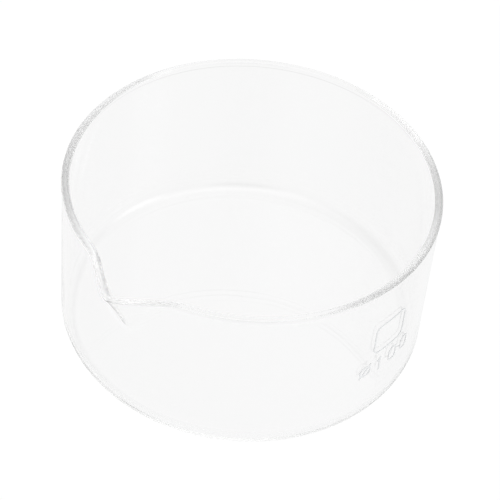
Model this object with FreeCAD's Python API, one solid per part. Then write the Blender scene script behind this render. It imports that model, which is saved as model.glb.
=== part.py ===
"""A crystallizing dish: a wide, low, flat-bottomed glass vessel with a pouring spout.

Units are millimetres. +Z is up, and the origin is the centre of the underside, on the axis of the
round body. The spout points along -Y, and the printed marks are on the wall near +X.

The vessel is one piece of borosilicate glass. It is made as one skin that runs from the edge of the
underside up the outside, over the rim and down the inside to the edge of the floor, closed by two
flat discs. The spout is a fold drawn out of the upper wall, so it moves points of that same skin.
The marks are thin islands of fired enamel that lie on the outside of the wall.
"""

import FreeCAD, Part
import os
from math import cos, degrees, hypot, pi, radians, sin, sinh, sqrt

Vector = FreeCAD.Vector

# The round body.
BODY_RADIUS = 50.0
HEIGHT = 50.0
WALL = 1.7
FLOOR = 2.2
OUTER_HEEL = 5.3
INNER_HEEL = 4.0

# The fire-polished rim is a bead like a thin rod, thicker than the wall and proud of it on both sides.
RIM_WIDTH = 2.2
RIM_PROUD = 0.2
BEAD_RUNOUT = 0.9

# The spout: two nearly straight arms that meet in a rounded nose, measured on the middle of the wall.
# Lower down the wall the fold gets shallower and narrower, down to a ridge that fades out.
SPOUT_AXIS = radians(-90)
SPOUT_REACH = 9.3
ARM_ANGLE = radians(50.5)
NOSE = radians(1.8)
ARM_FILLET = 1.4
SPOUT_DEPTH = 17.5
RIDGE_FILLET = 0.2
NARROWEST = 0.3
SPOUT_DROOP = 0.4

# The enamel marks: a diameter sign and the figures 1, 0 and 0, under an empty frame for writing in.
ENAMEL = 0.1
STROKE = 0.5
MARK_AXIS = radians(-3.4)
FIGURE_WIDTH = 3.4
FIGURE_HEIGHT = 5.0
FIGURE_PITCH = 5.2
FIGURE_LEVEL = 18.4
FIGURE_CORNER = 1.6
SIGN_DIAMETER = 3.9
SLASH_LENGTH = 5.6
SLASH_ANGLE = 40
ONE_FLAG = 1.5
FRAME_WIDTH = 11.8
FRAME_HEIGHT = 10.6
FRAME_LEVEL = 25.8
FRAME_CORNER = 2.2

# How closely the skin is sampled.
STATIONS_ROUND = 132
CROWDING = 4.2
SMALL_TURN = 1e-4
ARC_STEP = radians(15)
RIM_STEP = radians(22.5)
LOW_WALL_STEP = 6.0
SPOUT_WALL_STEP = 1.5
BEAD_STEP = 0.3

INNER_RADIUS = BODY_RADIUS - WALL
MIDDLE_RADIUS = BODY_RADIUS - WALL / 2
RIM_RADIUS = RIM_WIDTH / 2
RIM_CENTRE = BODY_RADIUS + RIM_PROUD - RIM_RADIUS
RIM_LEVEL = HEIGHT - RIM_RADIUS
BEAD_FOOT = RIM_LEVEL - BEAD_RUNOUT
RIDGE_FOOT = HEIGHT - SPOUT_DEPTH


def steps(start, end, size):
    """Even values from start to end, both included, no further apart than size."""
    count = max(1, int(abs(end - start) / size + 0.999))
    return [start + (end - start) * i / count for i in range(count + 1)]


def bead(level):
    """How far the wall has swelled into the rim's bead at a level, from 0 to 1."""
    t = min(max((level - BEAD_FOOT) / BEAD_RUNOUT, 0.0), 1.0)
    return t * t * (3 - 2 * t)


def wall_levels():
    """Levels of the straight wall, closer together where the spout and the bead bend it."""
    low = steps(FLOOR + INNER_HEEL, RIDGE_FOOT, LOW_WALL_STEP)
    high = steps(RIDGE_FOOT, BEAD_FOOT, SPOUT_WALL_STEP)
    return low[:-1] + high[:-1] + steps(BEAD_FOOT, RIM_LEVEL, BEAD_STEP)


def wall_section():
    """(radius, level) points of the wall's section, from the underside round to the floor."""
    levels = wall_levels()
    outer_heel = [
        (BODY_RADIUS - OUTER_HEEL * (1 - sin(a)), OUTER_HEEL * (1 - cos(a)))
        for a in steps(0, pi / 2, ARC_STEP)
    ]
    outside = [(BODY_RADIUS + RIM_PROUD * bead(level), level) for level in levels[:-1]]
    rim = [
        (RIM_CENTRE + RIM_RADIUS * cos(a), RIM_LEVEL + RIM_RADIUS * sin(a))
        for a in steps(0, pi, RIM_STEP)
    ]
    inside_swell = INNER_RADIUS - (RIM_CENTRE - RIM_RADIUS)
    inside = [(INNER_RADIUS - inside_swell * bead(level), level) for level in levels[-2:0:-1]]
    inner_heel = [
        (INNER_RADIUS - INNER_HEEL * (1 - cos(a)), FLOOR + INNER_HEEL * (1 - sin(a)))
        for a in steps(0, pi / 2, ARC_STEP)
    ]
    return outer_heel + outside + rim + inside + inner_heel


def fold(turn):
    """How far the top of the wall is drawn outward at an angle from the spout's axis."""
    tip = MIDDLE_RADIUS + SPOUT_REACH
    rounded_turn = sqrt(turn**2 + NOSE**2)
    arm = tip * sin(ARM_ANGLE) / sin(min(ARM_ANGLE + rounded_turn, pi / 2)) - MIDDLE_RADIUS
    if arm >= ARM_FILLET:
        return arm
    return max(arm + ARM_FILLET, 0.0) ** 2 / (4 * ARM_FILLET)


def middle(rise, turn):
    """Plan position of the middle of the wall, with the spout's axis along +X."""
    if rise > 0:
        depth = (hypot(rise, RIDGE_FILLET) - RIDGE_FILLET) / (hypot(1, RIDGE_FILLET) - RIDGE_FILLET)
        width = NARROWEST + (1 - NARROWEST) * rise
        reach = MIDDLE_RADIUS + depth * fold(turn / width)
    else:
        reach = MIDDLE_RADIUS
    return reach * cos(turn), reach * sin(turn)


def stations():
    """Turns from the spout's axis, from half a turn back to half a turn on, crowded at the spout."""
    shares = steps(-1.0, 1.0, 2.0 / STATIONS_ROUND)
    return [pi * sinh(CROWDING * share) / sinh(CROWDING) for share in shares]


def ring(radius, level, turns):
    """The row of points that one point of the wall's section makes as it goes round the vessel.
    The wall keeps its thickness round the spout, so each point is offset square to the middle."""
    points = []
    rise = (level - RIDGE_FOOT) / SPOUT_DEPTH
    for turn in turns:
        x, y = middle(rise, turn)
        before_x, before_y = middle(rise, turn - SMALL_TURN)
        after_x, after_y = middle(rise, turn + SMALL_TURN)
        along_x, along_y = after_x - before_x, after_y - before_y
        offset = (radius - MIDDLE_RADIUS) / hypot(along_x, along_y)
        x += along_y * offset
        y -= along_x * offset
        drawn_out = max(hypot(x, y) - radius, 0.0) / SPOUT_REACH
        droop = SPOUT_DROOP * max(rise, 0.0) ** 2 * drawn_out
        points.append(
            Vector(
                x * cos(SPOUT_AXIS) - y * sin(SPOUT_AXIS),
                x * sin(SPOUT_AXIS) + y * cos(SPOUT_AXIS),
                level - droop,
            )
        )
    return points


def skin(section):
    """One smooth face through the rings of every point in the section."""
    turns = stations()
    rows = []
    for radius, level in section:
        row = Part.BSplineCurve()
        row.interpolate(
            Points=ring(radius, level, turns[:-1]), PeriodicFlag=True, Parameters=turns
        )
        rows.append(row)
    lengths = [0.0]
    for (radius, level), (next_radius, next_level) in zip(section, section[1:]):
        lengths.append(lengths[-1] + hypot(next_radius - radius, next_level - level))
    columns = []
    for points in zip(*(row.getPoles() for row in rows)):
        column = Part.BSplineCurve()
        column.interpolate(Points=list(points), Parameters=lengths)
        columns.append(column)
    surface = Part.BSplineSurface()
    surface.buildFromPolesMultsKnots(
        [column.getPoles() for column in columns],
        rows[0].getMultiplicities(),
        columns[0].getMultiplicities(),
        rows[0].getKnots(),
        columns[0].getKnots(),
        True,
        False,
        rows[0].Degree,
        columns[0].Degree,
    )
    return surface.toShape()


def dish_body():
    wall = skin(wall_section())
    rims = sorted((e for e in wall.Edges if e.isClosed()), key=lambda e: e.BoundBox.ZMax)
    underside = Part.Face(Part.Wire(rims[0]))
    floor = Part.Face(Part.Wire(rims[-1]))
    shell = Part.Shell([wall, underside, floor])
    shell.sewShape()
    return Part.Solid(shell)


def bar(across, level, width, height, turn_degrees=0):
    """A block that reaches out through the wall at +X, centred on a place in the wall's own plane."""
    corner = Vector(0, across - width / 2, level - height / 2)
    block = Part.makeBox(2 * BODY_RADIUS, width, height, corner)
    block.rotate(Vector(0, across, level), Vector(1, 0, 0), turn_degrees)
    return block


def rounded_outline(across, level, width, height, corner):
    """An outline one stroke wide, as a block with rounded corners less a smaller one."""
    blocks = []
    for inset in (0, STROKE):
        block = bar(across, level, width - 2 * inset, height - 2 * inset)
        corners = [e for e in block.Edges if abs(e.tangentAt(e.FirstParameter).x) > 0.9]
        blocks.append(block.makeFillet(corner - inset, corners))
    return blocks[0].cut(blocks[1])


def diameter_sign(across):
    level = FIGURE_LEVEL + FIGURE_HEIGHT / 2
    start = Vector(0, across, level)
    outer = Part.makeCylinder(SIGN_DIAMETER / 2, 2 * BODY_RADIUS, start, Vector(1, 0, 0))
    inner = Part.makeCylinder(SIGN_DIAMETER / 2 - STROKE, 2 * BODY_RADIUS, start, Vector(1, 0, 0))
    return outer.cut(inner).fuse(bar(across, level, STROKE, SLASH_LENGTH, -SLASH_ANGLE))


def figure_one(across):
    stem = bar(across, FIGURE_LEVEL + FIGURE_HEIGHT / 2, STROKE, FIGURE_HEIGHT)
    flag_top = FIGURE_LEVEL + FIGURE_HEIGHT - STROKE / 2
    flag = bar(across, flag_top, STROKE, 2 * ONE_FLAG, -SLASH_ANGLE)
    left_of_stem = bar(across - ONE_FLAG / 2, flag_top - ONE_FLAG / 2, ONE_FLAG, ONE_FLAG + STROKE)
    return stem.fuse(flag.common(left_of_stem))


def figure_nought(across):
    level = FIGURE_LEVEL + FIGURE_HEIGHT / 2
    return rounded_outline(across, level, FIGURE_WIDTH, FIGURE_HEIGHT, FIGURE_CORNER)


def writing_frame():
    level = FRAME_LEVEL + FRAME_HEIGHT / 2
    return rounded_outline(0, level, FRAME_WIDTH, FRAME_HEIGHT, FRAME_CORNER)


def enamel(strokes):
    """The thin layer that the strokes leave on the outside of the wall, turned to its place.
    The layer's seam is first turned to the far side, so that it crosses no mark."""
    origin = Vector(0, 0, 0)
    up = Vector(0, 0, 1)
    layer = Part.makeCylinder(BODY_RADIUS + ENAMEL, HEIGHT).cut(Part.makeCylinder(BODY_RADIUS, HEIGHT))
    layer.rotate(origin, up, 180)
    mark = layer.common(strokes)
    mark.rotate(origin, up, degrees(MARK_AXIS))
    return mark.Solids[0]


def build():
    left = -1.5 * FIGURE_PITCH
    return {
        "dish_body": dish_body(),
        "mark_diameter_sign": enamel(diameter_sign(left)),
        "mark_figure_1": enamel(figure_one(left + FIGURE_PITCH)),
        "mark_figure_0_middle": enamel(figure_nought(left + 2 * FIGURE_PITCH)),
        "mark_figure_0_right": enamel(figure_nought(left + 3 * FIGURE_PITCH)),
        "mark_writing_frame": enamel(writing_frame()),
    }


os.makedirs("parts", exist_ok=True)
for name, solid in build().items():
    solid.exportStep("parts/" + name + ".step")
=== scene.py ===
"""Looks for the crystallizing dish: clear borosilicate glass with a fired print, on a white table.

The glass is a fine mesh of the same section and spout as the CAD solid, with the slight waviness of
blown glass. The print keeps its CAD solids and gets an enamel material.
"""
from math import cos, hypot, pi, radians, sin, sinh, sqrt

import bmesh
import bpy
from mathutils import Matrix, Vector


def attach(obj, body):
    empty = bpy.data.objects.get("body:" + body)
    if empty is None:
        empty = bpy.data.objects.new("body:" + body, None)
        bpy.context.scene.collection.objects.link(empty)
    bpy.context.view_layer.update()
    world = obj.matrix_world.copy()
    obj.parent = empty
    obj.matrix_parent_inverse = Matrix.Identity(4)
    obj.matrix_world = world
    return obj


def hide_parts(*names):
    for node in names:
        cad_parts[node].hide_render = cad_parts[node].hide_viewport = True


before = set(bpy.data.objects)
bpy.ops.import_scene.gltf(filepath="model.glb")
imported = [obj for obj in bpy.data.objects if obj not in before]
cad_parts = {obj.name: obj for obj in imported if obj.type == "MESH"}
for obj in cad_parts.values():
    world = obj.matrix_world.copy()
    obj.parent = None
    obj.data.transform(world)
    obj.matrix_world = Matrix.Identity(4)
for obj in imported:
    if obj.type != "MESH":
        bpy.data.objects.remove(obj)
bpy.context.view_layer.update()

MM = 0.001

# The vessel, in millimetres, as in the CAD.
BODY_RADIUS = 50.0
HEIGHT = 50.0
WALL = 1.7
FLOOR = 2.2
OUTER_HEEL = 5.3
INNER_HEEL = 4.0
RIM_WIDTH = 2.2
RIM_PROUD = 0.2
BEAD_RUNOUT = 0.9
SPOUT_AXIS = radians(-90)
SPOUT_REACH = 9.3
ARM_ANGLE = radians(50.5)
NOSE = radians(1.8)
ARM_FILLET = 1.4
SPOUT_DEPTH = 17.5
RIDGE_FILLET = 0.2
NARROWEST = 0.3
SPOUT_DROOP = 0.4

# How finely the glass is meshed.
STATIONS_ROUND = 320
CROWDING = 3.2
SMALL_TURN = 1e-4
ARC_STEP = radians(7.5)
RIM_STEP = radians(11.25)
WALL_STEP = 1.0
BEAD_STEP = 0.12
DISC_RINGS = 14
SPOUT_FREE_RADIUS = 40.0

# The table, in metres, with a hair's gap under the glass.
TABLE_RADIUS = 1.2
TABLE_GAP = 0.0003

# Radiance of the table under the dish and further out (fading between two distances, in metres), of
# the room round it, and of both as the camera sees them directly.
TABLE_LIGHT = 0.925
TABLE_LIGHT_FAR = 0.65
TABLE_FADE = (0.11, 0.36)
ROOM_LIGHT = 0.84
SEEN_LIGHT = 1.0

# Soft light in the room: bearing from the camera's, height and spread in degrees, and gain. A screen
# has a gain below nothing: it darkens its part of the room, which gives the rim its grey bands.
CAMERA_BEARING = -55.1
STUDIO = {
    "key_lamp": (75, 30, 20, 1.3),
    "high_lamp": (-40, 65, 40, 0.7),
    "spout_lamp": (60, 60, 25, 0.6),
    "far_sweep": (200, 40, 45, 0.5),
    "camera_screen": (5, 30, 25, -0.8),
    "low_screen": (140, 10, 45, -0.8),
    "side_screen": (250, 40, 65, -0.8),
}

# The photo's camera: lens and sensor in millimetres, angles, and place in metres before the turn.
CAMERA_LENS = 139.6
CAMERA_SENSOR = 36.0
CAMERA_TURN = radians(34.9)
CAMERA_TILT = radians(44.79)
CAMERA_ROLL = radians(5.93)
CAMERA_PLACE = (0.001, -0.37097, 0.39784)

# Bounces of light: it runs a long way inside the wall, from the rim to the heel, before it comes out.
BOUNCES = 128

INNER_RADIUS = BODY_RADIUS - WALL
MIDDLE_RADIUS = BODY_RADIUS - WALL / 2
RIM_RADIUS = RIM_WIDTH / 2
RIM_CENTRE = BODY_RADIUS + RIM_PROUD - RIM_RADIUS
RIM_LEVEL = HEIGHT - RIM_RADIUS
BEAD_FOOT = RIM_LEVEL - BEAD_RUNOUT
RIDGE_FOOT = HEIGHT - SPOUT_DEPTH


def steps(start, end, size):
    """Values from start to end, both included, about a size apart."""
    count = max(1, int(abs(end - start) / size + 0.999))
    return [start + (end - start) * i / count for i in range(count + 1)]


def bead(level):
    """Share of the bead's swelling at a level: nothing at its foot, all of it at the rim."""
    t = min(max((level - BEAD_FOOT) / BEAD_RUNOUT, 0.0), 1.0)
    return t * t * (3 - 2 * t)


def wall_section():
    """(radius, level) points of the wall's section, from the underside round to the floor."""
    bead_levels = steps(BEAD_FOOT, RIM_LEVEL, BEAD_STEP)
    outside_levels = steps(OUTER_HEEL, BEAD_FOOT, WALL_STEP)[:-1] + bead_levels
    inside_levels = bead_levels[::-1] + steps(BEAD_FOOT, FLOOR + INNER_HEEL, WALL_STEP)[1:]
    outer_heel = [
        (BODY_RADIUS - OUTER_HEEL * (1 - sin(a)), OUTER_HEEL * (1 - cos(a)))
        for a in steps(0, pi / 2, ARC_STEP)
    ]
    outside = [(BODY_RADIUS + RIM_PROUD * bead(z), z) for z in outside_levels[1:-1]]
    rim = [
        (RIM_CENTRE + RIM_RADIUS * cos(a), RIM_LEVEL + RIM_RADIUS * sin(a))
        for a in steps(0, pi, RIM_STEP)
    ]
    inside_swell = INNER_RADIUS - (RIM_CENTRE - RIM_RADIUS)
    inside = [(INNER_RADIUS - inside_swell * bead(z), z) for z in inside_levels[1:-1]]
    inner_heel = [
        (INNER_RADIUS - INNER_HEEL * (1 - cos(a)), FLOOR + INNER_HEEL * (1 - sin(a)))
        for a in steps(0, pi / 2, ARC_STEP)
    ]
    return outer_heel + outside + rim + inside + inner_heel


def fold(turn):
    """How far the rim is drawn out: two straight arms with a rounded tip, eased into the round."""
    tip = MIDDLE_RADIUS + SPOUT_REACH
    rounded_turn = sqrt(turn**2 + NOSE**2)
    arm = tip * sin(ARM_ANGLE) / sin(min(ARM_ANGLE + rounded_turn, pi / 2)) - MIDDLE_RADIUS
    if arm >= ARM_FILLET:
        return arm
    return max(arm + ARM_FILLET, 0.0) ** 2 / (4 * ARM_FILLET)


def middle(rise, turn):
    """Plan position of the middle of the wall, with the spout's axis along +X."""
    if rise > 0:
        depth = (hypot(rise, RIDGE_FILLET) - RIDGE_FILLET) / (hypot(1, RIDGE_FILLET) - RIDGE_FILLET)
        width = NARROWEST + (1 - NARROWEST) * rise
        reach = MIDDLE_RADIUS + depth * fold(turn / width)
    else:
        reach = MIDDLE_RADIUS
    return reach * cos(turn), reach * sin(turn)


def ring(radius, level, turns):
    """One row of points round the vessel. The wall keeps its thickness round the spout."""
    points = []
    rise = (level - RIDGE_FOOT) / SPOUT_DEPTH
    for turn in turns:
        x, y = middle(rise, turn)
        before_x, before_y = middle(rise, turn - SMALL_TURN)
        after_x, after_y = middle(rise, turn + SMALL_TURN)
        along_x, along_y = after_x - before_x, after_y - before_y
        offset = (radius - MIDDLE_RADIUS) / hypot(along_x, along_y)
        x += along_y * offset
        y -= along_x * offset
        drawn_out = max(hypot(x, y) - radius, 0.0) / SPOUT_REACH
        droop = SPOUT_DROOP * max(rise, 0.0) ** 2 * drawn_out
        points.append(
            (
                x * cos(SPOUT_AXIS) - y * sin(SPOUT_AXIS),
                x * sin(SPOUT_AXIS) + y * cos(SPOUT_AXIS),
                level - droop,
            )
        )
    return points


def glass_mesh():
    """The vessel as one closed skin: discs for the underside and the floor, rings for the rest."""
    shares = steps(-1.0, 1.0, 2.0 / STATIONS_ROUND)[:-1]
    turns = [pi * sinh(CROWDING * share) / sinh(CROWDING) for share in shares]
    section = wall_section()
    under_radius, floor_radius = section[0][0], section[-1][0]
    discs = [i / DISC_RINGS for i in range(1, DISC_RINGS)]
    rows = (
        [(under_radius * share, 0.0) for share in discs]
        + section
        + [(floor_radius * share, FLOOR) for share in reversed(discs)]
    )
    mesh = bmesh.new()
    rings = []
    for radius, level in rows:
        if radius < SPOUT_FREE_RADIUS:
            points = [
                (radius * cos(SPOUT_AXIS + t), radius * sin(SPOUT_AXIS + t), level) for t in turns
            ]
        else:
            points = ring(radius, level, turns)
        rings.append([mesh.verts.new(Vector(p) * MM) for p in points])
    for lower, upper in zip(rings, rings[1:]):
        for i in range(len(turns)):
            j = (i + 1) % len(turns)
            mesh.faces.new((lower[i], lower[j], upper[j], upper[i]))
    for row, level in ((rings[0], 0.0), (rings[-1], FLOOR)):
        centre = mesh.verts.new((0, 0, level * MM))
        for i in range(len(turns)):
            mesh.faces.new((row[i], row[(i + 1) % len(turns)], centre))
    bmesh.ops.recalc_face_normals(mesh, faces=mesh.faces)
    for face in mesh.faces:
        face.smooth = True
    data = bpy.data.meshes.new("dish_glass")
    mesh.to_mesh(data)
    mesh.free()
    return data


def new_material(name):
    material = bpy.data.materials.new(name)
    material.use_nodes = True
    nodes = material.node_tree.nodes
    return material, nodes, material.node_tree.links, nodes["Principled BSDF"]


def as_seen(nodes, links, strength):
    """The strength as it lights the glass, but plain white where the camera looks straight at it."""
    direct = nodes.new("ShaderNodeLightPath").outputs["Is Camera Ray"]
    shown = nodes.new("ShaderNodeMapRange")
    shown.inputs["To Max"].default_value = SEEN_LIGHT
    links.new(direct, shown.inputs["Value"])
    links.new(strength, shown.inputs["To Min"])
    return shown.outputs["Result"]


def noise(nodes, links, where, scale, detail):
    texture = nodes.new("ShaderNodeTexNoise")
    texture.inputs["Scale"].default_value = scale
    texture.inputs["Detail"].default_value = detail
    links.new(where, texture.inputs["Vector"])
    return texture.outputs["Fac"]


def ranged(nodes, links, value, low, high):
    scaled = nodes.new("ShaderNodeMapRange")
    scaled.inputs["To Min"].default_value = low
    scaled.inputs["To Max"].default_value = high
    links.new(value, scaled.inputs["Value"])
    return scaled.outputs["Result"]


def glass_material():
    """Clear glass: nearly smooth, with the slow waviness of a blown wall and a trace of handling."""
    material, nodes, links, shader = new_material("borosilicate_glass")
    shader.inputs["Base Color"].default_value = (1, 1, 1, 1)
    shader.inputs["IOR"].default_value = 1.473
    shader.inputs["Transmission Weight"].default_value = 1.0
    where = nodes.new("ShaderNodeTexCoord").outputs["Object"]
    smudge = noise(nodes, links, where, scale=90.0, detail=4.0)
    links.new(ranged(nodes, links, smudge, low=0.0, high=0.004), shader.inputs["Roughness"])
    wave = noise(nodes, links, where, scale=45.0, detail=1.0)
    bump = nodes.new("ShaderNodeBump")
    bump.inputs["Strength"].default_value = 0.08
    bump.inputs["Distance"].default_value = 0.0004
    links.new(wave, bump.inputs["Height"])
    links.new(bump.outputs["Normal"], shader.inputs["Normal"])
    body = nodes.new("ShaderNodeVolumeAbsorption")
    body.inputs["Color"].default_value = (0.90, 0.90, 0.90, 1)
    body.inputs["Density"].default_value = 1.2
    links.new(body.outputs["Volume"], nodes["Material Output"].inputs["Volume"])
    return material


def enamel_material():
    """Pale grey fired enamel: a satin print with the fine grain of its screen."""
    material, nodes, links, shader = new_material("fired_enamel")
    where = nodes.new("ShaderNodeTexCoord").outputs["Object"]
    grain = noise(nodes, links, where, scale=4000.0, detail=3.0)
    ramp = nodes.new("ShaderNodeValToRGB")
    ramp.color_ramp.elements[0].color = (0.88, 0.89, 0.9, 1)
    ramp.color_ramp.elements[1].color = (0.95, 0.96, 0.97, 1)
    links.new(grain, ramp.inputs["Fac"])
    links.new(ramp.outputs["Color"], shader.inputs["Base Color"])
    links.new(ranged(nodes, links, grain, low=0.35, high=0.55), shader.inputs["Roughness"])
    bump = nodes.new("ShaderNodeBump")
    bump.inputs["Strength"].default_value = 0.3
    bump.inputs["Distance"].default_value = 0.00003
    links.new(grain, bump.inputs["Height"])
    links.new(bump.outputs["Normal"], shader.inputs["Normal"])
    return material


def table_material():
    """White light table, dimmer further out. The camera sees it plain white, as in a cut-out shot."""
    material, nodes, links, shader = new_material("light_table")
    where = nodes.new("ShaderNodeTexCoord").outputs["Object"]
    grain = noise(nodes, links, where, scale=300.0, detail=2.0)
    shader.inputs["Base Color"].default_value = (0.02, 0.02, 0.02, 1)
    shader.inputs["Specular IOR Level"].default_value = 0.0
    shader.inputs["Emission Color"].default_value = (1, 1, 1, 1)
    away = nodes.new("ShaderNodeVectorMath")
    away.operation = "LENGTH"
    links.new(where, away.inputs[0])
    fade = nodes.new("ShaderNodeMapRange")
    fade.interpolation_type = "SMOOTHSTEP"
    fade.inputs["From Min"].default_value, fade.inputs["From Max"].default_value = TABLE_FADE
    fade.inputs["To Min"].default_value = TABLE_LIGHT
    fade.inputs["To Max"].default_value = TABLE_LIGHT_FAR
    links.new(away.outputs["Value"], fade.inputs["Value"])
    links.new(as_seen(nodes, links, fade.outputs["Result"]), shader.inputs["Emission Strength"])
    links.new(ranged(nodes, links, grain, low=0.5, high=0.6), shader.inputs["Roughness"])
    return material


def dish():
    """The glass, in place of the coarser packed vessel."""
    glass = bpy.data.objects.new("dish_glass", glass_mesh())
    bpy.context.collection.objects.link(glass)
    glass.data.materials.append(glass_material())
    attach(glass, "root")
    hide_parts("dish_body")


def marks():
    """The printed pieces keep the solids of the CAD."""
    enamel = enamel_material()
    for name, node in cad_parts.items():
        if name.startswith("mark_"):
            node.data.materials.clear()
            node.data.materials.append(enamel)


def table():
    bpy.ops.mesh.primitive_circle_add(
        vertices=96, radius=TABLE_RADIUS, fill_type="NGON", location=(0, 0, -TABLE_GAP)
    )
    top = bpy.context.object
    top.name = "light_table"
    top.data.materials.append(table_material())


def lights():
    """A pale room with soft lamps and, where the gain is below nothing, soft dark screens."""
    world = bpy.data.worlds.new("room")
    bpy.context.scene.world = world
    world.use_nodes = True
    nodes, links = world.node_tree.nodes, world.node_tree.links
    toward = nodes.new("ShaderNodeTexCoord").outputs["Generated"]
    total = None
    for name, (bearing, height, spread, gain) in STUDIO.items():
        around = radians(CAMERA_BEARING + bearing)
        level = cos(radians(height))
        middle_of_lobe = (level * cos(around), level * sin(around), sin(radians(height)))
        facing = nodes.new("ShaderNodeVectorMath")
        facing.label = name
        facing.operation = "DOT_PRODUCT"
        facing.inputs[1].default_value = middle_of_lobe
        links.new(toward, facing.inputs[0])
        lobe = nodes.new("ShaderNodeMapRange")
        lobe.interpolation_type = "SMOOTHSTEP"
        lobe.inputs["From Min"].default_value = cos(radians(spread))
        lobe.inputs["To Max"].default_value = gain
        links.new(facing.outputs["Value"], lobe.inputs["Value"])
        added = nodes.new("ShaderNodeMath")
        added.inputs[1].default_value = ROOM_LIGHT
        if total:
            links.new(total, added.inputs[1])
        links.new(lobe.outputs["Result"], added.inputs[0])
        total = added.outputs["Value"]
    links.new(as_seen(nodes, links, total), nodes["Background"].inputs["Strength"])
    nodes["Background"].inputs["Color"].default_value = (1, 1, 1, 1)


def camera():
    """The photo's camera, as fitted to the outline of the dish."""
    lens = bpy.data.cameras.new("camera")
    lens.lens = CAMERA_LENS
    lens.sensor_width = CAMERA_SENSOR
    holder = bpy.data.objects.new("camera", lens)
    turn = Matrix.Rotation(CAMERA_TURN, 4, "Z")
    tilt = Matrix.Rotation(CAMERA_TILT, 4, "X")
    roll = Matrix.Rotation(CAMERA_ROLL, 4, "Z")
    place = turn @ Vector(CAMERA_PLACE)
    holder.matrix_world = Matrix.Translation(place) @ turn @ tilt @ roll
    bpy.context.collection.objects.link(holder)
    bpy.context.scene.camera = holder


camera()
dish()
marks()
table()
lights()
scene = bpy.context.scene
scene.view_settings.view_transform = "Standard"
scene.cycles.max_bounces = BOUNCES
scene.cycles.transmission_bounces = BOUNCES
scene.cycles.glossy_bounces = BOUNCES
